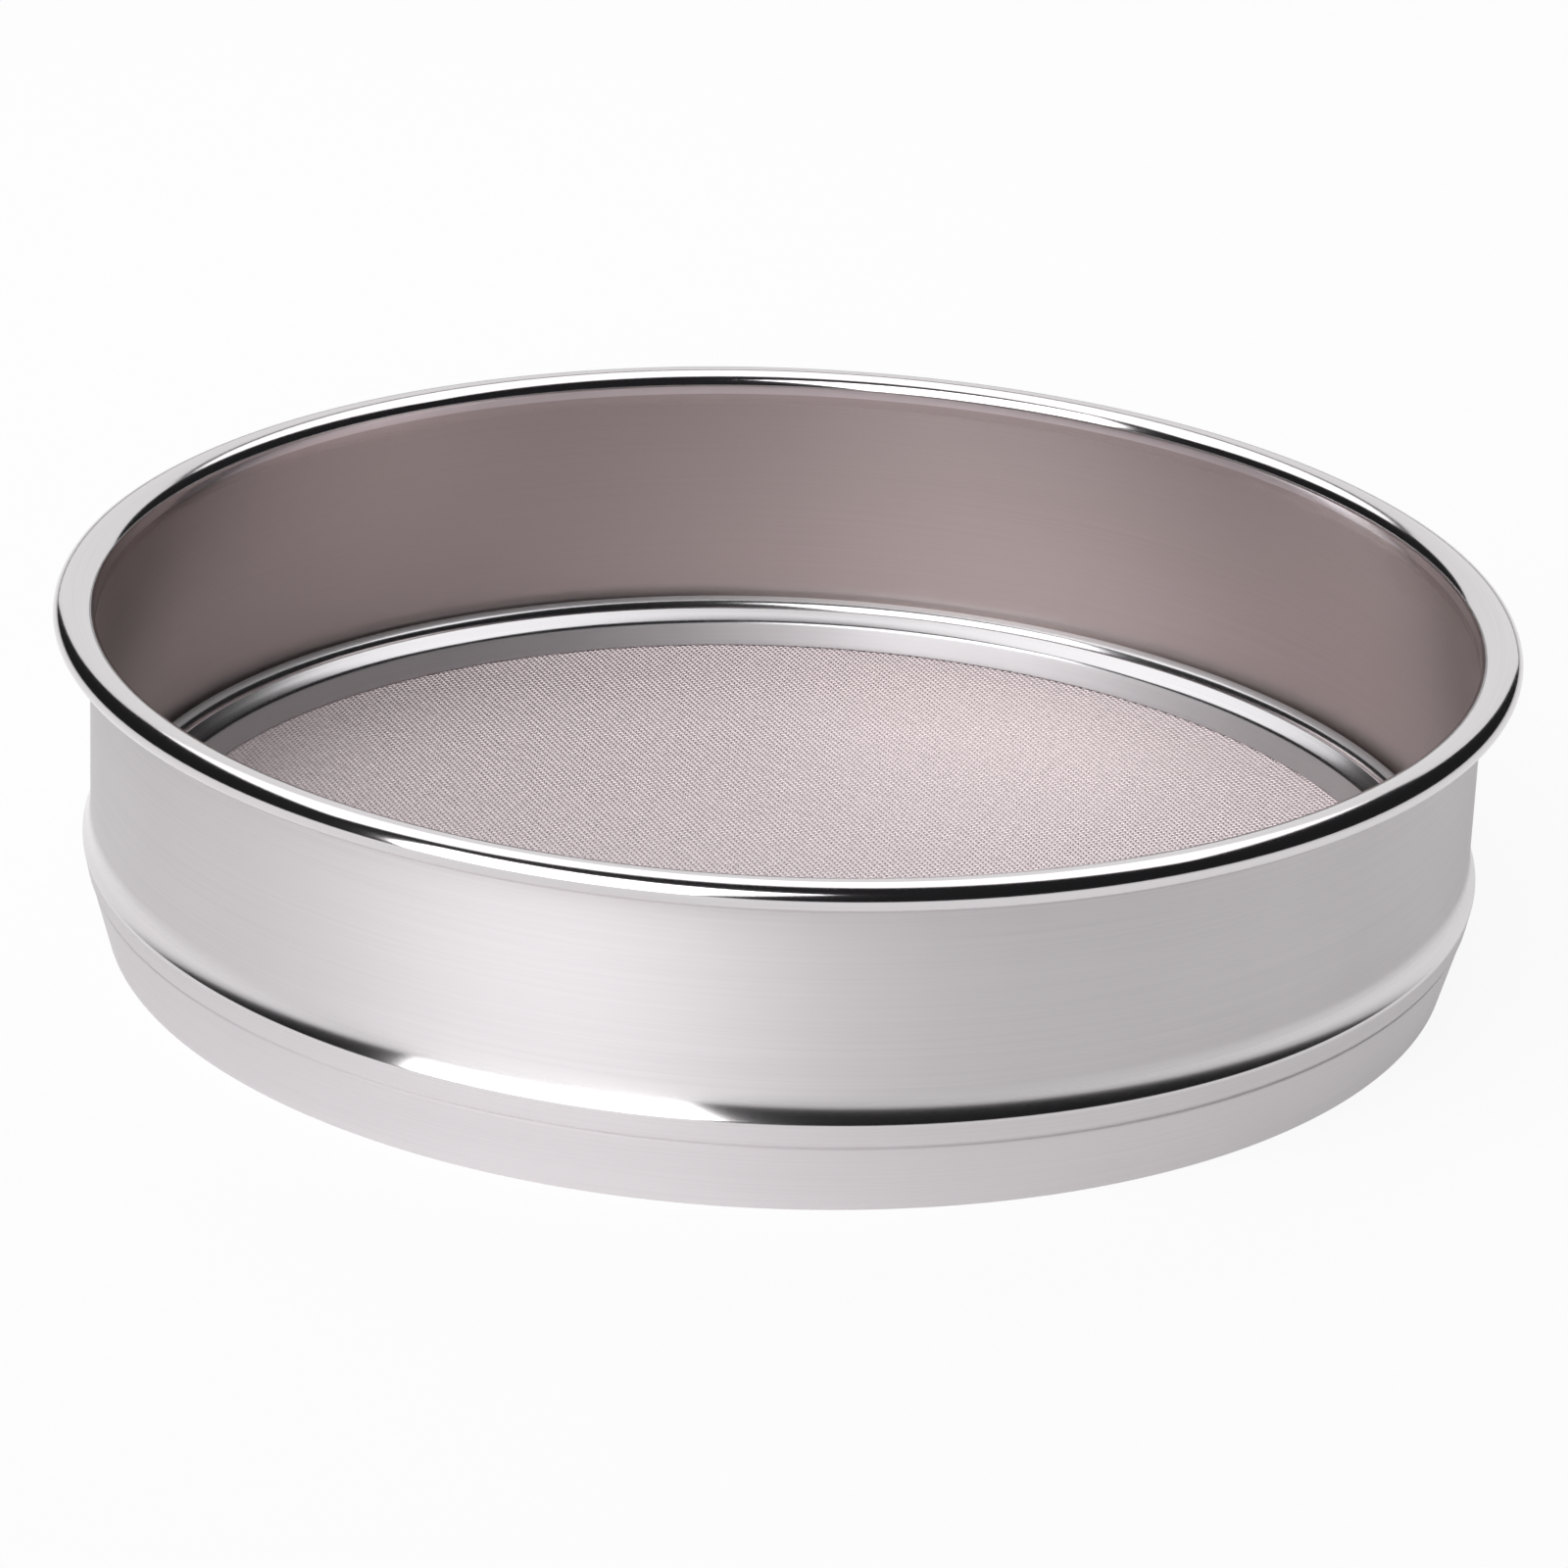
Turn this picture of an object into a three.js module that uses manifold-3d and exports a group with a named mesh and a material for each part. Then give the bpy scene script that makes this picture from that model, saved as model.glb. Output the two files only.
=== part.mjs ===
// A round stainless sieve: a spun frame with a rolled rim, a shoulder and a tapered skirt, a woven
// wire cloth that lies in the taper, and a pressed ring that holds the cloth down from above.
// Millimetres, +Z up. The sieve stands on its foot at z = 0, with its axis through the origin.
// Inside, the wall is smooth from the rim down to the taper: the shoulder stands out on one side only.

import * as THREE from 'three';
import { mergeGeometries, mergeVertices } from 'three/addons/utils/BufferGeometryUtils.js';
import Module from 'manifold-3d';

// Frame: overhangs and insets are measured outside, from the outside of the wall.
const INNER_DIAMETER = 200; // the size that such a sieve is sold by
const HEIGHT = 50; // foot to the top of the rim
const FRAME_SHEET = 0.7; // thickness of the spun sheet
const RIM_WIDTH = 6; // across the rolled rim, which is rolled somewhat flat
const RIM_HEIGHT = 4.3;
const RIM_SLIT = 0.8; // left open between the rim's free edge and the wall
const SHOULDER_HEIGHT = 14; // foot to the corner of the shoulder
const SHOULDER_OVERHANG = 1.2;
const FLARE_HEIGHT = 5; // the sweep from the wall out to the shoulder
const CREASE_HEIGHT = 10.3; // foot to the top of the tapered skirt
const CREASE_OVERHANG = 0.3; // the skirt's top edge
const CREASE_STEP = 0.25; // how far the band above the crease stands proud of the skirt
const CREASE_RISE = 0.4; // height of that step
const FOOT_INSET = 2.4;

// Wire cloth: drawn with far fewer and wider meshes than the real one, which has several to a millimetre.
const CLOTH_LEVEL = 5.9; // foot to the middle of the cloth
const WIRE_DIAMETER = 0.5;
const WIRE_PITCH = 10.6; // from wire to wire
const CROSSING_GAP = 0.45; // air between two wires where they cross
const HEM_WIDTH = 2.8; // the compressed edge under the clamp ring

// Clamp ring
const RING_SHEET = 0.6;
const RING_WIDTH = 6.95; // from its bore, on the underside, to the outside of its bead
const RING_HEIGHT = 6; // from the cloth to the crest of its bead
const LIP_WIDTH = 1.7; // the steep lip that comes down on the cloth
const LIP_HEIGHT = 2.65;
const BEAD_RADIUS = 1.7; // outside of the rounded bead
const BEAD_START = 180; // degrees: where the sloped shelf runs into the bead, 180 being the bead's inner side

const CLEARANCE = 0.3; // between neighbouring pieces
const SEGMENTS = 64; // facets round the axis
const RIM_FACETS = 10; // along the bend of the rolled rim
const FLARE_FACETS = 4;
const BEAD_FACETS = 8;

const wallRadius = INNER_DIAMETER / 2;
const outerRadius = wallRadius + FRAME_SHEET;
const rimReach = RIM_WIDTH / 2;
const rimRise = RIM_HEIGHT / 2;
const taperSlope = (FOOT_INSET + CREASE_OVERHANG) / CREASE_HEIGHT;
const taper = Math.atan(taperSlope); // between the skirt and the axis
const footRadius = outerRadius - FOOT_INSET - FRAME_SHEET / Math.cos(taper);
const weaveRise = (WIRE_DIAMETER + CROSSING_GAP) / 2;
const clothHalf = weaveRise + WIRE_DIAMETER / 2;
const clothTop = CLOTH_LEVEL + clothHalf;
const clothBottom = CLOTH_LEVEL - clothHalf;
const hemRadius = skirtInside(clothBottom) - CLEARANCE;
const ringBottom = clothTop + CLEARANCE;

// Inside radius of the tapered skirt at a height above the foot.
function skirtInside(height) {
  return footRadius + taperSlope * height;
}

// Points of an arc in the profile, as radius and height. The angles are in degrees. An arc that isn't
// round has a rise of its own.
function arc(radius, height, bend, from, to, steps, rise = bend) {
  const start = THREE.MathUtils.degToRad(from);
  const end = THREE.MathUtils.degToRad(to);
  return new THREE.EllipseCurve(radius, height, bend, rise, start, end, from > to).getPoints(steps);
}

// A point beyond a profile's end that makes the sheet end in a level cut instead of a square one.
function levelCut(end, next) {
  return new THREE.Vector2(next.x, 2 * end.y - next.y);
}

// Closed section of a bent sheet, from one of its faces. A positive thickness lies to the right of the
// way that the face runs. beyond, where it is given, is the point before the first one.
function sheetSection(face, thickness, beyond) {
  const far = face.map((corner, i) => {
    const before = i > 0 ? face[i - 1] : beyond;
    const after = face[i + 1];
    const normals = [[before, corner], [corner, after]]
      .filter(([a, b]) => a && b)
      .map(([a, b]) => new THREE.Vector2(b.y - a.y, a.x - b.x).normalize());
    const mitre = normals.reduce((sum, normal) => sum.clone().add(normal)).normalize();
    return corner.clone().addScaledVector(mitre, thickness / mitre.dot(normals[0]));
  });
  return [...face, ...far.reverse()];
}

// A closed section of radii and heights, turned round the Z axis into a solid that faces out.
function spun(section) {
  const outline = THREE.ShapeUtils.isClockWise(section) ? [...section].reverse() : section;
  return new THREE.LatheGeometry([...outline, outline[0]], SEGMENTS).rotateX(Math.PI / 2);
}

function point(radius, height) {
  return new THREE.Vector2(radius, height);
}

// The frame's section: up the inside, round the rolled rim and back, and down the outside.
function frameGeometry() {
  const footInside = point(footRadius, 0);
  const taperTop = point(wallRadius, (wallRadius - footRadius) / taperSlope);
  const rimCentre = wallRadius + rimReach;
  const rimHeight = HEIGHT - rimRise;
  const freeEdge = outerRadius + RIM_SLIT;
  const rimTurn = THREE.MathUtils.radToDeg(Math.acos((freeEdge - rimCentre) / rimReach));
  const rim = arc(rimCentre, rimHeight, rimReach, 180, -rimTurn, RIM_FACETS, rimRise);
  const hollow = [rimReach - FRAME_SHEET, rimRise - FRAME_SHEET];
  const rimBack = arc(rimCentre, rimHeight, hollow[0], -rimTurn, 180, RIM_FACETS, hollow[1]);
  const flareBend = (SHOULDER_OVERHANG ** 2 + FLARE_HEIGHT ** 2) / (2 * SHOULDER_OVERHANG);
  const flareTurn = THREE.MathUtils.radToDeg(Math.asin(FLARE_HEIGHT / flareBend));
  const flareTop = SHOULDER_HEIGHT + FLARE_HEIGHT;
  const flare = arc(outerRadius + flareBend, flareTop, flareBend, 180, 180 + flareTurn, FLARE_FACETS);
  const skirtTop = point(outerRadius + CREASE_OVERHANG, CREASE_HEIGHT);
  const bandFoot = point(skirtTop.x + CREASE_STEP, CREASE_HEIGHT + CREASE_RISE);
  const footOutside = point(outerRadius - FOOT_INSET, 0);
  return spun([footInside, taperTop, ...rim, ...rimBack, ...flare, bandFoot, skirtTop, footOutside]);
}

// The clamp ring's underside: up the outer leg along the taper, over the bead, and down the shelf and
// the lip to the bore.
function ringGeometry() {
  const beadHeight = ringBottom + RING_HEIGHT - BEAD_RADIUS;
  const reach = BEAD_RADIUS + CLEARANCE;
  const beadCentre = Math.min(wallRadius - reach, skirtInside(beadHeight) - reach / Math.cos(taper));
  const beadEnd = THREE.MathUtils.radToDeg(-taper);
  const bead = arc(beadCentre, beadHeight, BEAD_RADIUS - RING_SHEET, beadEnd, BEAD_START, BEAD_FACETS);
  const legFoot = point(bead[0].x - taperSlope * (bead[0].y - ringBottom), ringBottom);
  const bore = point(beadCentre + BEAD_RADIUS - RING_WIDTH, ringBottom);
  const lipTop = point(bore.x + LIP_WIDTH, ringBottom + LIP_HEIGHT);
  const face = [legFoot, ...bead, lipTop, bore];
  return spun(sheetSection(face, RING_SHEET, levelCut(legFoot, bead[0])));
}

// One wire of the weave: it swings over and under the wires that it crosses, a pitch apart.
class WovenWire extends THREE.Curve {
  constructor(steps, place, across) {
    super();
    Object.assign(this, { steps, place, across, arcLengthDivisions: 10 * steps });
  }

  getPoint(t, target = new THREE.Vector3()) {
    const along = (t - 0.5) * this.steps * WIRE_PITCH;
    const row = Math.round(this.place / WIRE_PITCH - 0.5);
    const side = (row % 2 === 0 ? 1 : -1) * (this.across ? -1 : 1);
    const height = CLOTH_LEVEL + side * weaveRise * Math.sin((Math.PI * along) / WIRE_PITCH);
    return this.across ? target.set(along, this.place, height) : target.set(this.place, along, height);
  }
}

const wasm = await Module();
wasm.setup();

function toSolid(geometry) {
  const bare = geometry.clone();
  bare.deleteAttribute('normal');
  bare.deleteAttribute('uv');
  const merged = mergeVertices(bare);
  return new wasm.Manifold(new wasm.Mesh({
    numProp: 3,
    vertProperties: new Float32Array(merged.attributes.position.array),
    triVerts: new Uint32Array(merged.index.array),
  }));
}

function toGeometry(solid) {
  const mesh = solid.getMesh();
  const geometry = new THREE.BufferGeometry();
  geometry.setAttribute('position', new THREE.BufferAttribute(mesh.vertProperties, 3));
  geometry.setIndex(new THREE.BufferAttribute(mesh.triVerts, 1));
  geometry.computeVertexNormals();
  return geometry;
}

// Both sets of wires in a square weave that reaches past the hem, before it is cut round.
function weaveGeometry() {
  const rows = Math.ceil(hemRadius / WIRE_PITCH);
  const half = WIRE_DIAMETER / 2;
  const section = new THREE.Shape([point(half, 0), point(0, half), point(-half, 0), point(0, -half)]);
  const wires = [];
  for (let row = -rows; row < rows; row++) {
    for (const across of [false, true]) {
      const steps = 2 * rows + 1;
      const extrudePath = new WovenWire(steps, (row + 0.5) * WIRE_PITCH, across);
      wires.push(new THREE.ExtrudeGeometry(section, { steps, extrudePath }));
    }
  }
  return mergeGeometries(wires);
}

// The cloth: the weave cut round inside its hem, and fused to the hem.
function clothGeometry() {
  const hemInside = hemRadius - HEM_WIDTH;
  const hem = spun([
    point(hemInside, clothBottom),
    point(hemRadius, clothBottom),
    point(hemRadius, clothTop),
    point(hemInside, clothTop),
  ]);
  const cutter = spun([
    point(0, clothBottom - CLEARANCE),
    point(hemRadius - HEM_WIDTH / 2, clothBottom - CLEARANCE),
    point(hemRadius - HEM_WIDTH / 2, clothTop + CLEARANCE),
    point(0, clothTop + CLEARANCE),
  ]);
  return toGeometry(toSolid(weaveGeometry()).intersect(toSolid(cutter)).add(toSolid(hem)));
}

function steel(color, roughness) {
  return new THREE.MeshStandardMaterial({ color, roughness, metalness: 1 });
}

function piece(name, geometry, material) {
  const mesh = new THREE.Mesh(geometry, material);
  mesh.name = name;
  return mesh;
}

const sieve = new THREE.Group();
sieve.add(
  piece('sieve_frame', frameGeometry(), steel(0xcac8ca, 0.3)),
  piece('wire_cloth', clothGeometry(), steel(0xbdb3b4, 0.45)),
  piece('clamp_ring', ringGeometry(), steel(0xd0ced1, 0.15)),
);

export default sieve;
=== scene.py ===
"""A round stainless sieve: spun frame, pressed clamp ring and woven wire cloth, in a plain studio.

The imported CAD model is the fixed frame. Each piece here stands for one CAD node, in the same place,
with the bends, edges and weave that the solids only outline. Sizes are in millimetres and angles in
degrees, and lengths are turned into metres where a mesh, a lamp or a pattern takes them.
"""

import logging
import math
from collections.abc import Mapping
from dataclasses import dataclass
from enum import Enum
from typing import Any

import bmesh
import bpy
from mathutils import Matrix, Vector


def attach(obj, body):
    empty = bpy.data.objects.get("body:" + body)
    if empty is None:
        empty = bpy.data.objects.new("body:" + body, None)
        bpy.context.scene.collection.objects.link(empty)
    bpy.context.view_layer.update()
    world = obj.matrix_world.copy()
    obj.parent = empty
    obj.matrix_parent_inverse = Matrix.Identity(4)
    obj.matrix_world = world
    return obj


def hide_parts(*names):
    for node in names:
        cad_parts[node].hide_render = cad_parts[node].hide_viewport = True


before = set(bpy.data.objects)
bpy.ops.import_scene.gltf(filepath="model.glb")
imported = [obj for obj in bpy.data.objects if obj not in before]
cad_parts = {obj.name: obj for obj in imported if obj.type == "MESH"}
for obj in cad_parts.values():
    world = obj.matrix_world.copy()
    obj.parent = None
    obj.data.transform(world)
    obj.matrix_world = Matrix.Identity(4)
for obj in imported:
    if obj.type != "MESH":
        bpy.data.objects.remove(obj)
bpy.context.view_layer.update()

LOG = logging.getLogger("sieve")
MM = 0.001
UP = Vector((0.0, 0.0, 1.0))
ROUND = 256  # steps round the axis
MERGE_DISTANCE = 0.001 * MM
SHARP = 50.0  # degrees: the cut edges of a sheet turn by more than this, and its bends by less
NOISE_LOW, NOISE_HIGH = 0.3, 0.7  # most of a noise texture lies between these
QUARTER_TURN = 0.25  # in the whole turns that the shader counts in

Place = tuple[float, float, float]
Colour = tuple[float, float, float, float]


def linear(colour: str) -> Colour:
    """Turn an sRGB hex colour into the linear colour that shaders take.

    Args:
        colour: Six hex digits, such as "c8c6c8".

    Returns:
        Linear red, green and blue, and an alpha of 1.
    """
    parts = [int(colour[i : i + 2], 16) / 255 for i in (0, 2, 4)]
    red, green, blue = (c / 12.92 if c <= 0.04045 else ((c + 0.055) / 1.055) ** 2.4 for c in parts)
    return red, green, blue, 1.0


def shades(colour: str, tone: float) -> list[Colour]:
    """Give a darker and a lighter shade of a colour.

    Args:
        colour: An sRGB hex value.
        tone: How far each shade lies from it, as a share.

    Returns:
        The darker and the lighter shade, as linear colours.
    """
    red, green, blue, alpha = linear(colour)
    return [(red * share, green * share, blue * share, alpha) for share in (1 - tone, 1 + tone)]


def add_node(
    tree: bpy.types.NodeTree, kind: str, inputs: Mapping[str | int, Any], **settings: Any
) -> bpy.types.Node:
    """Add one node, with its settings made and its inputs set or linked.

    Args:
        tree: The node tree that gets the node.
        kind: Blender's name for the node type.
        inputs: For each input, by name or place, a value or the output socket that feeds it.
        **settings: Properties of the node itself.

    Returns:
        The new node.
    """
    node = tree.nodes.new(kind)
    for name, value in settings.items():
        setattr(node, name, value)
    for name, value in inputs.items():
        if isinstance(value, bpy.types.NodeSocket):
            tree.links.new(value, node.inputs[name])
        else:
            node.inputs[name].default_value = value
    return node


def empty_material(name: str) -> bpy.types.Material:
    """Make a material that has no nodes yet.

    Args:
        name: Its name.

    Returns:
        The material.
    """
    material = bpy.data.materials.new(name)
    material.use_nodes = True
    material.node_tree.nodes.clear()
    return material


def fill_ramp(node: bpy.types.Node, stops: list[tuple[float, float]]) -> None:
    """Give a Color Ramp node grey stops.

    Args:
        node: The Color Ramp node.
        stops: Position and grey level of each stop, in order.
    """
    elements = node.color_ramp.elements
    while len(elements) < len(stops):
        elements.new(1.0)
    for element, (place, grey) in zip(elements, stops):
        element.position = place
        element.color = (grey, grey, grey, 1.0)


class Polish(Enum):
    """How a stretch of the steel was finished, and the roughness that it has from that."""

    BRIGHT = 0.12  # rolled and buffed
    BURNISHED = 0.15  # bent over under the roller
    PRESSED = 0.18  # polished sheet, pressed in a die
    WIPED = 0.34  # by hand, with a fine pad
    SATIN = 0.55  # as the roller leaves it
    LINISHED = 0.6  # by a belt, along a cut edge
    MATT = 0.85  # in a corner that no roller reaches


@dataclass(frozen=True)
class SpunSteel:
    """Stainless sheet that was spun or pressed on a lathe: satin walls and burnished bends.

    The tool leaves fine lines round the axis, so a reflection is drawn out across them, up and down
    the wall. Bends that the roller pressed hardest are the brightest.

    Attributes:
        name: The material's name.
        colour: Steel's own reflection, as an sRGB hex value.
        polish: How it is finished up its height, as pairs of millimetres and polish.
        anisotropy: How far a reflection is drawn out across the lines.
        line_spacing: Millimetres from line to line. Real ones are some 0.05 mm apart, which no
            render shows, so they are drawn several times coarser.
        line_length: Millimetres that a line runs before it fades.
        line_depth: Millimetres of relief.
        tone: How far the colour swings from line to line, as a share.
        cloud_size: Millimetres across the faint clouds of handling and wiping.
        cloud_swing: How far the roughness swings from cloud to cloud, as a share.
    """

    name: str
    colour: str
    polish: tuple[tuple[float, Polish], ...]
    anisotropy: float
    line_spacing: float = 0.35
    line_length: float = 45.0
    line_depth: float = 0.0015
    tone: float = 0.05
    cloud_size: float = 38.0
    cloud_swing: float = 0.05

    def material(self) -> bpy.types.Material:
        """Build the material.

        Returns:
            A material that reads Object coordinates only.
        """
        material = empty_material(self.name)
        tree = material.node_tree
        place = add_node(tree, "ShaderNodeTexCoord", {}).outputs["Object"]
        # The direction of the lines: round the axis at every point.
        lines_run = add_node(
            tree, "ShaderNodeVectorMath", {0: UP, 1: place}, operation="CROSS_PRODUCT"
        )
        height = add_node(tree, "ShaderNodeSeparateXYZ", {0: place}).outputs["Z"]
        flat = add_node(
            tree, "ShaderNodeVectorMath", {0: place, 1: (1, 1, 0)}, operation="MULTIPLY"
        )
        reach = add_node(tree, "ShaderNodeVectorMath", {0: flat.outputs[0]}, operation="LENGTH")
        across = add_node(
            tree, "ShaderNodeMath", {0: height, 1: reach.outputs["Value"]}, operation="ADD"
        )
        turned = add_node(
            tree,
            "ShaderNodeMath",
            {0: across.outputs[0], 1: self.line_length / self.line_spacing},
            operation="MULTIPLY",
        )
        lines = add_node(
            tree,
            "ShaderNodeTexNoise",
            {
                "Vector": place,
                "W": turned.outputs[0],
                "Scale": 1 / (self.line_length * MM),
                "Detail": 2.0,
            },
            noise_dimensions="4D",
        )
        clouds = add_node(
            tree,
            "ShaderNodeTexNoise",
            {"Vector": place, "Scale": 1 / (self.cloud_size * MM), "Detail": 3.0},
        )
        darker, lighter = shades(self.colour, self.tone)
        colour = add_node(
            tree, "ShaderNodeMix", {0: lines.outputs[0], 6: darker, 7: lighter}, data_type="RGBA"
        )
        top = max(level for level, _ in self.polish)
        share = add_node(
            tree, "ShaderNodeMath", {0: height, 1: 1 / (top * MM)}, operation="MULTIPLY"
        )
        ramp = add_node(tree, "ShaderNodeValToRGB", {0: share.outputs[0]})
        fill_ramp(ramp, [(level / top, polish.value) for level, polish in self.polish])
        swing = add_node(
            tree,
            "ShaderNodeMapRange",
            {
                "Value": clouds.outputs[0],
                "From Min": NOISE_LOW,
                "From Max": NOISE_HIGH,
                "To Min": 1 - self.cloud_swing,
                "To Max": 1 + self.cloud_swing,
            },
        )
        rough = add_node(
            tree,
            "ShaderNodeMath",
            {0: ramp.outputs[0], 1: swing.outputs[0]},
            operation="MULTIPLY",
        )
        relief = add_node(
            tree,
            "ShaderNodeBump",
            {"Height": lines.outputs[0], "Strength": 0.5, "Distance": self.line_depth * MM},
        )
        steel = add_node(
            tree,
            "ShaderNodeBsdfPrincipled",
            {
                "Base Color": colour.outputs[2],
                "Metallic": 1.0,
                "Roughness": rough.outputs[0],
                "Anisotropic": self.anisotropy,
                "Anisotropic Rotation": QUARTER_TURN,
                "Tangent": lines_run.outputs[0],
                "Normal": relief.outputs[0],
            },
        )
        add_node(tree, "ShaderNodeOutputMaterial", {"Surface": steel.outputs[0]})
        return material


class Course(Enum):
    """The two sets of wires in a plain weave, and the angle that each runs at."""

    WARP = 0.0
    WEFT = 90.0


@dataclass(frozen=True)
class DrawnWire:
    """Bright drawn stainless wire in a plain weave.

    Round wires throw light every way, so the cloth looks pale and even. No two wires sit quite
    alike, which shows as faint streaks along both sets.

    Attributes:
        name: The material's name.
        colour: The wire's own reflection, as an sRGB hex value.
        rough: Roughness of the drawn surface.
        streak: Millimetres across the streaks. Real wires are finer than the render can show, so
            the streaks are those of small groups of wires.
        tone: How far the colour swings from streak to streak, as a share.
    """

    name: str = "Woven stainless wire"
    colour: str = "ebe1e3"
    rough: float = 0.58
    streak: float = 1.6
    tone: float = 0.1

    def material(self, course: Course) -> bpy.types.Material:
        """Build the material for one set of wires.

        Args:
            course: The set of wires, whose streaks run along it.

        Returns:
            A material that reads Object coordinates only.
        """
        material = empty_material(f"{self.name} {course.name.lower()}")
        tree = material.node_tree
        place = add_node(tree, "ShaderNodeTexCoord", {}).outputs["Object"]
        parts = add_node(tree, "ShaderNodeSeparateXYZ", {0: place})
        across = parts.outputs["Y" if course is Course.WARP else "X"]
        streaks = add_node(
            tree,
            "ShaderNodeTexNoise",
            {"W": across, "Scale": 1 / (self.streak * MM), "Detail": 4.0, "Roughness": 0.7},
            noise_dimensions="1D",
        )
        darker, lighter = shades(self.colour, self.tone)
        colour = add_node(
            tree, "ShaderNodeMix", {0: streaks.outputs[0], 6: darker, 7: lighter}, data_type="RGBA"
        )
        steel = add_node(
            tree,
            "ShaderNodeBsdfPrincipled",
            {"Base Color": colour.outputs[2], "Metallic": 1.0, "Roughness": self.rough},
        )
        add_node(tree, "ShaderNodeOutputMaterial", {"Surface": steel.outputs[0]})
        return material


@dataclass(frozen=True)
class PaperFloor:
    """Matt white paper under and round the object. It stays white to the eye and in the metal.

    Attributes:
        name: The material's name.
        colour: The paper, as an sRGB hex value.
        glow: The share that camera and see-through rays take as plain white. The rest is lit, and
            so keeps the object's shadow.
        mirrored: The same share for mirror rays, so that the metal shows the white and the shadow.
    """

    name: str = "Matt white paper"
    colour: str = "f4f4f4"
    glow: float = 0.92
    mirrored: float = 0.54

    def material(self) -> bpy.types.Material:
        """Build the material.

        Returns:
            A paper that is clear from below, so that a view from there shows the object.
        """
        material = empty_material(self.name)
        tree = material.node_tree
        paper = add_node(tree, "ShaderNodeBsdfDiffuse", {"Color": linear(self.colour)})
        white = add_node(tree, "ShaderNodeEmission", {"Color": (1, 1, 1, 1), "Strength": 1.0})
        path = add_node(tree, "ShaderNodeLightPath", {})
        seen = add_node(
            tree,
            "ShaderNodeMath",
            {0: path.outputs["Is Camera Ray"], 1: path.outputs["Is Transmission Ray"]},
            operation="MAXIMUM",
        )
        mirrored = add_node(
            tree,
            "ShaderNodeMath",
            {0: path.outputs["Is Glossy Ray"], 1: self.mirrored},
            operation="MULTIPLY",
        )
        share = add_node(
            tree,
            "ShaderNodeMath",
            {0: seen.outputs[0], 1: self.glow, 2: mirrored.outputs[0]},
            operation="MULTIPLY_ADD",
        )
        front = add_node(
            tree,
            "ShaderNodeMixShader",
            {0: share.outputs[0], 1: paper.outputs[0], 2: white.outputs[0]},
        )
        clear = add_node(tree, "ShaderNodeBsdfTransparent", {})
        side = add_node(tree, "ShaderNodeNewGeometry", {})
        sheet = add_node(
            tree,
            "ShaderNodeMixShader",
            {0: side.outputs["Backfacing"], 1: front.outputs[0], 2: clear.outputs[0]},
        )
        add_node(tree, "ShaderNodeOutputMaterial", {"Surface": sheet.outputs[0]})
        return material


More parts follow.
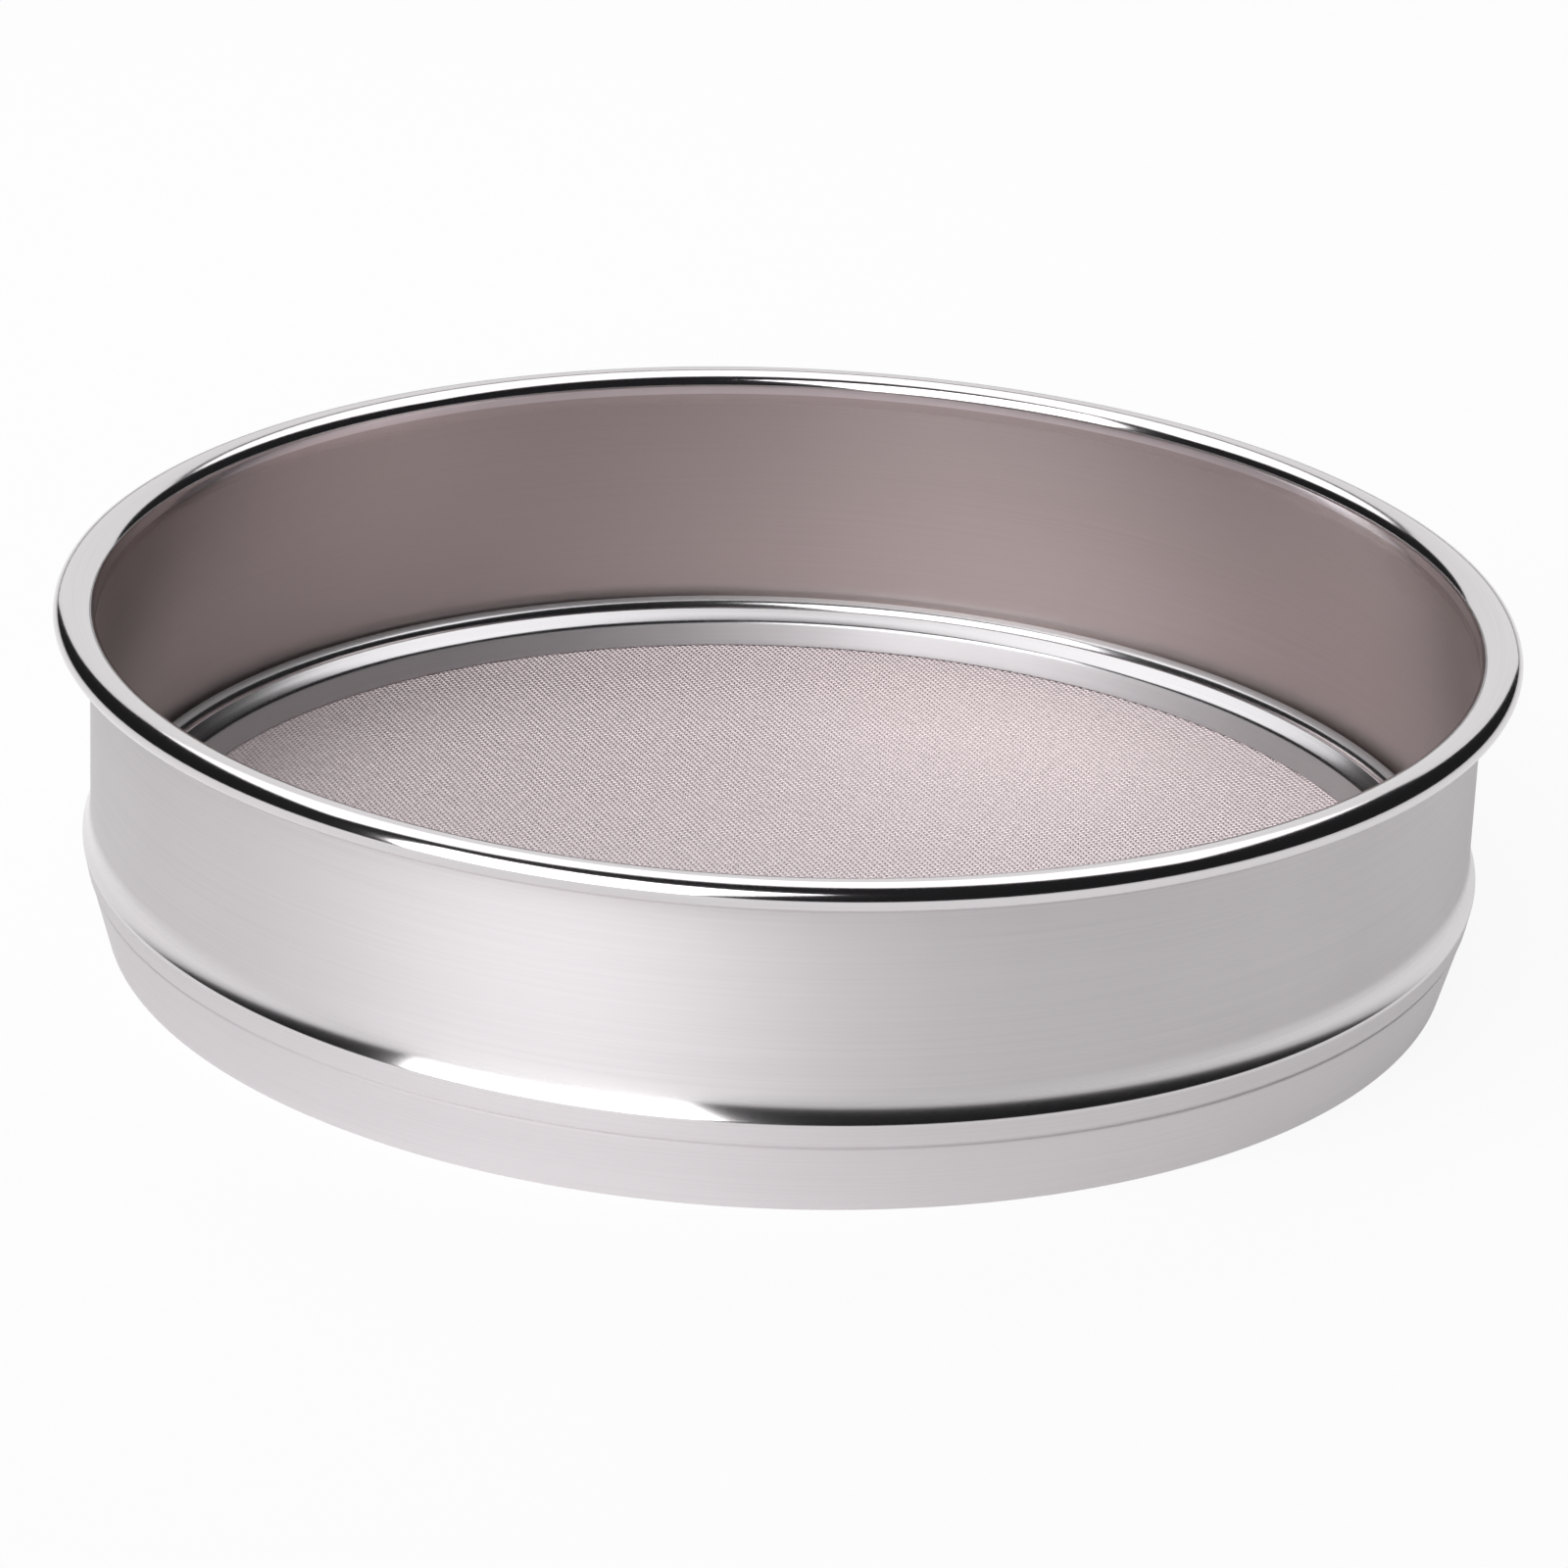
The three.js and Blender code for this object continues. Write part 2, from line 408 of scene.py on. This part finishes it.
class Profile:
    """A line in the XZ plane, drawn bend by bend, that is spun round the axis into a sheet."""

    longest = 1.2  # millimetres: longer stretches are divided, so that shading stays even on them

    def __init__(self, radius: float, height: float) -> None:
        """Start the line.

        Args:
            radius: Millimetres from the axis.
            height: Millimetres above the foot.
        """
        self.mesh = bmesh.new()
        self.start = bmesh.ops.create_vert(self.mesh, co=(radius * MM, 0, height * MM))["vert"][0]
        self.tip = self.start

    def line_to(self, radius: float, height: float) -> bmesh.types.BMVert:
        """Draw a straight stretch.

        Args:
            radius: Millimetres from the axis to its end.
            height: Millimetres above the foot to its end.

        Returns:
            The vertex at its end.
        """
        made = bmesh.ops.extrude_vert_indiv(self.mesh, verts=[self.tip])
        self.tip = made["verts"][0]
        way = Vector((radius * MM, 0, height * MM)) - self.tip.co
        bmesh.ops.translate(self.mesh, verts=[self.tip], vec=way)
        return self.tip

    def bend(
        self, radius: float, height: float, turn: float, steps: int, flat: float = 1.0
    ) -> None:
        """Draw a bend.

        Args:
            radius: Millimetres from the axis to the bend's centre.
            height: Millimetres above the foot to the bend's centre.
            turn: Degrees, clockwise as seen with the axis on the left.
            steps: Stretches that make up the bend.
            flat: How high the bend is for its width, where 1 is round.
        """
        drawn = set(self.mesh.verts) - {self.tip}
        made = bmesh.ops.spin(
            self.mesh,
            geom=[self.tip],
            cent=(radius * MM, 0, height * MM),
            axis=(0, 1, 0),
            angle=math.radians(turn),
            steps=steps,
        )
        self.tip = next(part for part in made["geom_last"] if isinstance(part, bmesh.types.BMVert))
        bent = [vert for vert in self.mesh.verts if vert not in drawn]
        middle = Matrix.Translation((0, 0, -height * MM))
        bmesh.ops.scale(self.mesh, vec=(1, 1, flat), space=middle, verts=bent)

    def close(self) -> None:
        """Draw a straight stretch back to the start."""
        bmesh.ops.contextual_create(self.mesh, geom=[self.tip, self.start])

    def soften(self, corners: list[bmesh.types.BMVert], reach: float, steps: int) -> None:
        """Round some corners of the line.

        Args:
            corners: Their vertices.
            reach: Millimetres from the corner to where the rounding starts.
            steps: Stretches that make up each rounding.
        """
        bmesh.ops.bevel(
            self.mesh,
            geom=corners,
            offset=reach * MM,
            offset_type="OFFSET",
            segments=steps,
            profile=0.5,
            affect="VERTICES",
            material=-1,
        )

    def spun(self) -> bmesh.types.BMesh:
        """Turn the line round the axis.

        Returns:
            The mesh of the surface, closed all round, with its faces all one way.
        """
        for edge in self.mesh.edges[:]:
            cuts = int(edge.calc_length() / (self.longest * MM))
            if cuts:
                bmesh.ops.subdivide_edges(self.mesh, edges=[edge], cuts=cuts)
        bmesh.ops.spin(
            self.mesh,
            geom=self.mesh.verts[:] + self.mesh.edges[:],
            cent=(0, 0, 0),
            axis=UP,
            angle=math.tau,
            steps=ROUND,
            use_merge=True,
        )
        bmesh.ops.remove_doubles(self.mesh, verts=self.mesh.verts[:], dist=MERGE_DISTANCE)
        bmesh.ops.recalc_face_normals(self.mesh, faces=self.mesh.faces[:])
        return self.mesh


def thicken(mesh: bmesh.types.BMesh, thickness: float, radius: float, height: float) -> None:
    """Give a spun surface the thickness of its sheet, on the side where a given point lies.

    Args:
        mesh: The surface.
        thickness: Millimetres.
        radius: Millimetres from the axis to the point.
        height: Millimetres above the foot to the point.
    """
    point = Vector((radius * MM, 0, height * MM))
    nearest = min(mesh.faces, key=lambda face: (face.calc_center_median() - point).length)
    if nearest.normal.dot(point - nearest.calc_center_median()) > 0:
        bmesh.ops.reverse_faces(mesh, faces=mesh.faces[:])
    bmesh.ops.solidify(mesh, geom=mesh.faces[:], thickness=thickness * MM)


def cut_level(mesh: bmesh.types.BMesh, height: float, inner: float, outer: float) -> None:
    """Cut one end of a sheet level at a height, and close the cut.

    Args:
        mesh: The sheet, whose end loses what lies below.
        height: Millimetres above the foot.
        inner: Millimetres from the axis to where that end starts.
        outer: Millimetres from the axis to where it stops.
    """
    faces = [
        face
        for face in mesh.faces
        if inner < face.calc_center_median().xy.length / MM < outer
    ]
    # Keys keep their order, so that every run cuts in the same one.
    edges = dict.fromkeys(edge for face in faces for edge in face.edges)
    verts = dict.fromkeys(vert for face in faces for vert in face.verts)
    cut = bmesh.ops.bisect_plane(
        mesh,
        geom=[*verts, *edges, *faces],
        plane_co=(0, 0, height * MM),
        plane_no=UP,
        clear_inner=True,
    )
    rims = [part for part in cut["geom_cut"] if isinstance(part, bmesh.types.BMEdge)]
    bmesh.ops.bridge_loops(mesh, edges=rims)
    bmesh.ops.recalc_face_normals(mesh, faces=mesh.faces[:])


def break_edges(mesh: bmesh.types.BMesh, reach: float) -> None:
    """Take the sharpness off the cut edges of a sheet.

    Args:
        mesh: The sheet.
        reach: Millimetres.
    """
    sharp = [
        edge
        for edge in mesh.edges
        if len(edge.link_faces) == 2 and edge.calc_face_angle() > math.radians(SHARP)
    ]
    bmesh.ops.bevel(
        mesh,
        geom=sharp,
        offset=reach * MM,
        offset_type="OFFSET",
        segments=2,
        profile=0.5,
        affect="EDGES",
        material=-1,
    )


def make_object(
    name: str, mesh: bmesh.types.BMesh, material: bpy.types.Material
) -> bpy.types.Object:
    """Turn a finished bmesh into an object at the origin, shaded smooth.

    Args:
        name: The object's name.
        mesh: The finished mesh, which is freed.
        material: Its material.

    Returns:
        The object, in the scene.
    """
    data = bpy.data.meshes.new(name)
    mesh.to_mesh(data)
    mesh.free()
    data.shade_smooth()
    data.materials.append(material)
    made = bpy.data.objects.new(name, data)
    bpy.context.scene.collection.objects.link(made)
    return made


def make_piece(
    name: str, mesh: bmesh.types.BMesh, material: bpy.types.Material, node: str
) -> bpy.types.Object:
    """Make a piece of the sieve that stands for a CAD node.

    Args:
        name: The piece's name.
        mesh: Its finished mesh, which is freed.
        material: Its material.
        node: The CAD node that it stands for.

    Returns:
        The piece.
    """
    piece = make_object(name, mesh, material)
    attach(piece, "root")
    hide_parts(node)
    LOG.info("%s stands for %s, with %d faces", name, node, len(piece.data.polygons))
    return piece


@dataclass
class SieveFrame:
    """The spun frame: rolled rim, wall, flared shoulder, crease and tapered skirt in one piece.

    Inside, the wall is smooth down to the taper, and its steel is painted darker than the outside
    as painted shade in the bowl. Overhangs and insets are from the outside of the wall.
    """

    outside: SpunSteel
    # painted shade: the inside's steel is coloured darker than the outside's, for the shade in the
    # bowl
    inside: SpunSteel
    wall_radius: float = 100.0
    height: float = 50.0
    sheet: float = 0.7
    rim_reach: float = 3.0  # half of the roll's width
    rim_rise: float = 2.15  # half of its height
    rim_turn: float = 300.0
    shoulder_height: float = 14.0
    shoulder_overhang: float = 1.2
    shoulder_rounding: float = 0.35
    flare_height: float = 5.0
    crease_height: float = 10.3
    crease_overhang: float = 0.3
    crease_step: float = 0.25
    crease_rise: float = 0.4
    crease_depth: float = 0.06  # of the groove above the skirt's top edge
    crease_rounding: float = 0.06
    taper_rounding: float = 0.8
    foot_inset: float = 2.4
    edge_break: float = 0.12
    inside_top: float = 47.0  # the rim above has the outside's finish all round
    rim_steps: int = 48
    flare_steps: int = 16
    taper_steps: int = 6
    shoulder_steps: int = 4
    fine_steps: int = 3  # in the crease and on the cut edges

    def build(self) -> None:
        """Model the frame and dress it."""
        outer = self.wall_radius + self.sheet
        taper = (self.crease_overhang + self.foot_inset) / self.crease_height
        foot = outer - self.foot_inset - self.sheet * math.hypot(1, taper)
        line = Profile(foot, 0)
        taper_top = line.line_to(self.wall_radius, (self.wall_radius - foot) / taper)
        rim_centre = self.wall_radius + self.rim_reach
        rim_height = self.height - self.rim_rise
        line.line_to(self.wall_radius, rim_height)
        oval = self.rim_rise / self.rim_reach
        line.bend(rim_centre, rim_height, self.rim_turn, self.rim_steps, oval)
        # Across the rim's free edge, and back along the inside of the roll.
        edges = [line.start, line.tip]
        angle = math.radians(180 - self.rim_turn)
        bend = self.rim_reach - self.sheet
        edges.append(
            line.line_to(rim_centre + bend * math.cos(angle), rim_height + bend * math.sin(angle))
        )
        oval = (self.rim_rise - self.sheet) / bend
        line.bend(rim_centre, rim_height, -self.rim_turn, self.rim_steps, oval)
        flare_top = self.shoulder_height + self.flare_height
        line.line_to(outer, flare_top)
        bend = (self.shoulder_overhang**2 + self.flare_height**2) / (2 * self.shoulder_overhang)
        turn = math.degrees(math.asin(self.flare_height / bend))
        line.bend(outer + bend, flare_top, -turn, self.flare_steps)
        shoulder = line.tip
        skirt_top = outer + self.crease_overhang
        # The foot of the band, the bottom of the groove and the top edge of the skirt.
        crease = [
            line.line_to(skirt_top + self.crease_step, self.crease_height + self.crease_rise),
            line.line_to(skirt_top - self.crease_depth, self.crease_height + self.crease_rise / 2),
            line.line_to(skirt_top, self.crease_height - self.crease_rise / 4),
        ]
        edges.append(line.line_to(outer - self.foot_inset, 0))
        line.close()
        line.soften([taper_top], self.taper_rounding, self.taper_steps)
        line.soften([shoulder], self.shoulder_rounding, self.shoulder_steps)
        line.soften(crease, self.crease_rounding, self.fine_steps)
        line.soften(edges, self.edge_break, self.fine_steps)
        mesh = line.spun()
        # Faces inside the bowl take the inside steel, whose darker colour is painted shade
        for face in mesh.faces:
            middle = face.calc_center_median()
            inward = face.normal.xy.dot(middle.xy) < 0
            face.material_index = int(inward and middle.z < self.inside_top * MM)
        shell = make_piece(
            "frame_shell", mesh, self.outside.material(), "sieve_frame"
        )
        shell.data.materials.append(self.inside.material())


@dataclass
class ClampRing:
    """The pressed ring that holds the cloth: steep lip, sloped shelf, rounded bead and outer leg.

    Radii are those of the sheet's underside.
    """

    finish: SpunSteel
    bore_radius: float = 93.25
    bottom: float = 6.65
    sheet: float = 0.6
    lip_width: float = 1.23
    lip_height: float = 2.95
    lip_rounding: float = 0.35
    bead_centre: float = 98.0
    bead_height: float = 11.225
    bead_radius: float = 1.1
    bead_rounding: float = 0.35
    taper: float = 14.69
    spare: float = 0.5  # height of what is cut off below the lip and the leg
    edge_break: float = 0.12
    bead_steps: int = 32
    rounding_steps: int = 4

    def build(self) -> None:
        """Model the ring and dress it."""
        lean = self.lip_width / self.lip_height
        line = Profile(self.bore_radius - self.spare * lean, self.bottom - self.spare)
        lip_top = line.line_to(self.bore_radius + self.lip_width, self.bottom + self.lip_height)
        root = line.line_to(self.bead_centre - self.bead_radius, self.bead_height)
        line.bend(self.bead_centre, self.bead_height, 180 + self.taper, self.bead_steps)
        slope = math.tan(math.radians(self.taper))
        below = line.tip.co.z / MM - self.bottom + self.spare
        line.line_to(line.tip.co.x / MM - below * slope, self.bottom - self.spare)
        line.soften([lip_top], self.lip_rounding, self.rounding_steps)
        line.soften([root], self.bead_rounding, self.rounding_steps)
        mesh = line.spun()
        # The point lies above the bead, so the sheet stands on its underside.
        thicken(mesh, self.sheet, self.bead_centre, self.bead_height + 2 * self.bead_radius)
        middle = (self.bore_radius + self.bead_centre) / 2
        cut_level(mesh, self.bottom, 0, middle)
        cut_level(mesh, self.bottom, middle, math.inf)
        break_edges(mesh, self.edge_break)
        make_piece("clamp_ring_pressed", mesh, self.finish.material(), "clamp_ring")


@dataclass
class WireCloth:
    """The woven wire bottom: two sets of wires over and under each other, and a flat hem.

    The real cloth has several meshes to a millimetre. It is drawn as fine as its number of faces
    allows, which is still coarse enough to be seen as a weave close up.
    """

    finish: DrawnWire
    level: float = 6.42
    wire: float = 0.5
    wire_height: float = 0.22
    rise: float = 0.09
    pitch: float = 0.62
    strips: tuple[tuple[int, int], ...] = ((0, 64), (64, 128))  # first wire and most wires
    wire_sides: int = 4
    radius: float = 97.0
    hem_inner: float = 95.6
    hem_outer: float = 98.5
    hem_bottom: float = 5.5
    hem_top: float = 6.62
    hem_rounding: float = 0.25
    hem_steps: int = 3

    def build(self) -> None:
        """Model both sets of wires and the hem, and dress them."""
        for course in Course:
            material = self.finish.material(course)
            for half in (-1, 1):
                for number, (first, most) in enumerate(self.strips, 1):
                    name = f"cloth_{course.name.lower()}_{'a' if half < 0 else 'b'}{number}"
                    mesh = self.wires(course, half, first, most)
                    make_piece(name, mesh, material, "wire_cloth")
        make_piece(
            "cloth_hem", self.hem(), self.finish.material(Course.WARP), "wire_cloth"
        )

    def wires(self, course: Course, half: int, first: int, most: int) -> bmesh.types.BMesh:
        """Model a strip of one set of wires.

        Args:
            course: The set.
            half: Its side of the middle, as -1 or 1.
            first: The strip's first wire, counted from the middle.
            most: How many wires it has, a power of 2, before those outside the hem are cut off.

        Returns:
            Its mesh, cut round inside the hem.
        """
        rows = math.ceil(self.radius / self.pitch)
        pitch = self.pitch * MM
        start = Vector(((0.5 - rows) * pitch, half * (first + 0.5) * pitch, self.level * MM))
        mesh = bmesh.new()
        bmesh.ops.create_circle(
            mesh,
            segments=self.wire_sides,
            radius=self.wire / 2 * MM,
            matrix=Matrix.Translation(start)
            @ Matrix.Diagonal((1, 1, self.wire_height / self.wire, 1))
            @ Matrix.Rotation(math.radians(90), 4, "Y"),
        )
        bmesh.ops.spin(
            mesh,
            geom=mesh.verts[:] + mesh.edges[:],
            cent=(0, 0, 0),
            axis=UP,
            angle=0.0,
            dvec=(pitch, 0, 0),
            steps=2 * rows - 1,
        )
        wires = 1
        while wires < most:
            made = bmesh.ops.duplicate(mesh, geom=mesh.verts[:] + mesh.edges[:] + mesh.faces[:])
            copied = [part for part in made["geom"] if isinstance(part, bmesh.types.BMVert)]
            bmesh.ops.translate(mesh, verts=copied, vec=(0, half * wires * pitch, 0))
            wires *= 2
        turn = Matrix.Rotation(math.radians(course.value), 3, "Z")
        bmesh.ops.rotate(mesh, cent=(0, 0, 0), matrix=turn, verts=mesh.verts[:])
        outside = [vert for vert in mesh.verts if vert.co.xy.length > self.radius * MM]
        bmesh.ops.delete(mesh, geom=outside, context="VERTS")
        self.weave(mesh, course)
        ends = [edge for edge in mesh.edges if edge.is_boundary]
        bmesh.ops.holes_fill(mesh, edges=ends, sides=self.wire_sides)
        bmesh.ops.recalc_face_normals(mesh, faces=mesh.faces[:])
        return mesh

    def weave(self, mesh: bmesh.types.BMesh, course: Course) -> None:
        """Lift the wires over every second crossing and press them under the others.

        Args:
            mesh: One set of straight wires.
            course: The set, which goes under where the other goes over.
        """
        pitch = self.pitch * MM
        over: dict[bool, list[bmesh.types.BMVert]] = {True: [], False: []}
        for vert in mesh.verts:
            crossing = round(vert.co.x / pitch - 0.5) + round(vert.co.y / pitch - 0.5)
            over[(crossing % 2 == 0) == (course is Course.WARP)].append(vert)
        bmesh.ops.translate(mesh, verts=over[True], vec=(0, 0, self.rise * MM))
        bmesh.ops.translate(mesh, verts=over[False], vec=(0, 0, -self.rise * MM))

    def hem(self) -> bmesh.types.BMesh:
        """Model the pressed edge of the cloth.

        Returns:
            Its mesh.
        """
        line = Profile(self.hem_inner, self.hem_bottom)
        corners = [line.tip]
        for radius, height in (
            (self.hem_outer, self.hem_bottom),
            (self.hem_outer, self.hem_top),
            (self.hem_inner, self.hem_top),
        ):
            corners.append(line.line_to(radius, height))
        line.close()
        line.soften(corners, self.hem_rounding, self.hem_steps)
        return line.spun()


@dataclass(frozen=True)
class SoftBox:
    """A soft box, with its places as the studio gives them.

    Attributes:
        name: Its name.
        place: Its middle.
        aim: The point that it faces.
        size: Its width and height, in metres.
        brightness: How bright its face looks, where 1 is white.
    """

    name: str
    place: Place
    aim: Place
    size: tuple[float, float]
    brightness: float


@dataclass
class Studio:
    """White paper, three soft boxes and the camera.

    Places are given as seen from the camera: x to its right, y away from it, z up, in metres, with
    the middle of the sieve's foot as the origin. The camera's own numbers are a fit to the rim,
    foot and shoulder of the photograph, as pixels of its 1600 wide frame, millimetres and degrees.
    """

    floor: PaperFloor
    azimuth: float = 20.0  # the wires of the cloth run along X and Y, turned by this in the view
    elevation: float = 22.408
    roll: float = 2.454
    distance: float = 937.29
    aim: Place = (0.295, 0.0, 20.874)
    focal: float = 6530.7
    picture: int = 1600
    sensor: float = 36.0
    floor_radius: float = 3.0
    floor_lip: float = 0.17
    floor_cove: float = 0.12
    floor_sides: int = 96
    cove_steps: int = 8
    room: str = "202021"
    soft_boxes: tuple[SoftBox, ...] = (
        # From the front and the left: it lights the wall and gives the shoulder its glint.
        SoftBox(
            name="key_box",
            place=(-0.96, -1.45, 1.25),
            aim=(0, 0, 0.03),
            size=(1.96, 2.65),
            brightness=3.05,
        ),
        # Low over the back half, so that the ring shows it and the front of the rim does not.
        SoftBox(
            name="overhead_box",
            place=(-0.04, 0.38, 0.62),
            aim=(-0.04, 0.38, 0),
            size=(0.82, 0.62),
            brightness=1.5,
        ),
        # Behind, where the top of the rim mirrors it.
        SoftBox(
            name="back_box",
            place=(0, 1.9, 0.85),
            aim=(0, 0, 0.85),
            size=(2.2, 1.3),
            brightness=0.85,
        ),
    )

    def build(self) -> None:
        """Make the floor, the lamps, the world and the camera."""
        self.make_floor()
        for box in self.soft_boxes:
            self.hang(box)
        self.make_world()
        self.make_camera()

    def turned(self) -> Matrix:
        """Give the turn from the camera's side to the CAD frame."""
        return Matrix.Rotation(math.radians(self.azimuth), 4, "Z")

    def make_floor(self) -> None:
        """Lay the paper, with its edge curved up all round."""
        mesh = bmesh.new()
        bmesh.ops.create_circle(
            mesh, cap_ends=True, segments=self.floor_sides, radius=self.floor_radius
        )
        edge = mesh.edges[:]
        made = bmesh.ops.extrude_edge_only(mesh, edges=edge)
        lip = [part for part in made["geom"] if isinstance(part, bmesh.types.BMVert)]
        bmesh.ops.translate(mesh, verts=lip, vec=(0, 0, self.floor_lip))
        bmesh.ops.bevel(
            mesh,
            geom=edge,
            offset=self.floor_cove,
            offset_type="OFFSET",
            segments=self.cove_steps,
            profile=0.5,
            affect="EDGES",
            material=-1,
        )
        bmesh.ops.recalc_face_normals(mesh, faces=mesh.faces[:])
        base = max(mesh.faces, key=lambda face: face.calc_area())
        if base.normal.z < 0:
            bmesh.ops.reverse_faces(mesh, faces=mesh.faces[:])
        make_object("paper_floor", mesh, self.floor.material())

    def hang(self, box: SoftBox) -> None:
        """Hang a soft box.

        Args:
            box: The soft box.
        """
        data = bpy.data.lights.new(box.name, "AREA")
        data.shape = "RECTANGLE"
        data.size, data.size_y = box.size
        # The watts at which a lamp of this area looks as bright as it should.
        data.energy = box.brightness * math.pi * box.size[0] * box.size[1]
        lamp = bpy.data.objects.new(box.name, data)
        away = Vector(box.place) - Vector(box.aim)
        upright = away.to_track_quat("Z", "Y").to_matrix().to_4x4()
        lamp.matrix_world = self.turned() @ Matrix.Translation(box.place) @ upright
        bpy.context.scene.collection.objects.link(lamp)

    def make_world(self) -> None:
        """Fill the rest of the room with dim grey, which the metal's bends show as dark lines."""
        world = bpy.data.worlds.new("Dim room")
        world.use_nodes = True
        world.node_tree.nodes["Background"].inputs["Color"].default_value = linear(self.room)
        bpy.context.scene.world = world

    def make_camera(self) -> None:
        """Place the camera at the photograph's viewing angle."""
        data = bpy.data.cameras.new("camera")
        data.sensor_width = self.sensor
        data.lens = self.sensor * self.focal / self.picture
        camera = bpy.data.objects.new("camera", data)
        camera.matrix_world = (
            self.turned()
            @ Matrix.Translation(Vector(self.aim) * MM)
            @ Matrix.Rotation(math.radians(90 - self.elevation), 4, "X")
            @ Matrix.Rotation(math.radians(self.roll), 4, "Z")
            @ Matrix.Translation((0, 0, self.distance * MM))
        )
        bpy.context.scene.collection.objects.link(camera)
        bpy.context.scene.camera = camera


WALL_STEEL = SpunSteel(
    name="Spun stainless sheet",
    colour="e2dee0",
    polish=(
        (0.0, Polish.SATIN),  # the skirt
        (10.1, Polish.SATIN),
        (10.2, Polish.MATT),  # the crease
        (10.8, Polish.MATT),
        (10.9, Polish.SATIN),  # the band
        (13.6, Polish.SATIN),
        (14.2, Polish.BURNISHED),  # the shoulder
        (16.2, Polish.BURNISHED),
        (18.8, Polish.SATIN),  # the wall
        (45.2, Polish.SATIN),
        (45.6, Polish.BRIGHT),  # the rim
        (52.0, Polish.BRIGHT),
    ),
    anisotropy=0.45,
)
# The wall's steel, coloured darker and warmer for the inside of the bowl; the darkness is painted
# shade
INSIDE_STEEL_PAINTED_SHADE = SpunSteel(
    name="Spun stainless sheet inside",
    colour="c3bab8",
    polish=(
        (0.0, Polish.WIPED),  # the wall
        (44.5, Polish.WIPED),
        (47.0, Polish.BRIGHT),  # the rim
        (52.0, Polish.BRIGHT),
    ),
    anisotropy=0.1,
)
RING_STEEL = SpunSteel(
    name="Pressed polished stainless",
    colour="d2d0d2",
    polish=(
        (0.0, Polish.LINISHED),  # the lip
        (9.85, Polish.LINISHED),
        (9.95, Polish.PRESSED),  # the shelf and the bead's side
        (12.6, Polish.PRESSED),
        (12.8, Polish.SATIN),  # the bead's crest
        (52.0, Polish.SATIN),
    ),
    anisotropy=0.4,
)


def main() -> None:
    """Build the studio and the sieve."""
    logging.basicConfig(level=logging.INFO, format="%(name)s: %(message)s")
    bpy.context.scene.view_settings.view_transform = "Standard"
    Studio(PaperFloor()).build()
    SieveFrame(outside=WALL_STEEL, inside=INSIDE_STEEL_PAINTED_SHADE).build()
    ClampRing(RING_STEEL).build()
    WireCloth(DrawnWire()).build()


if __name__ == "__main__":
    main()
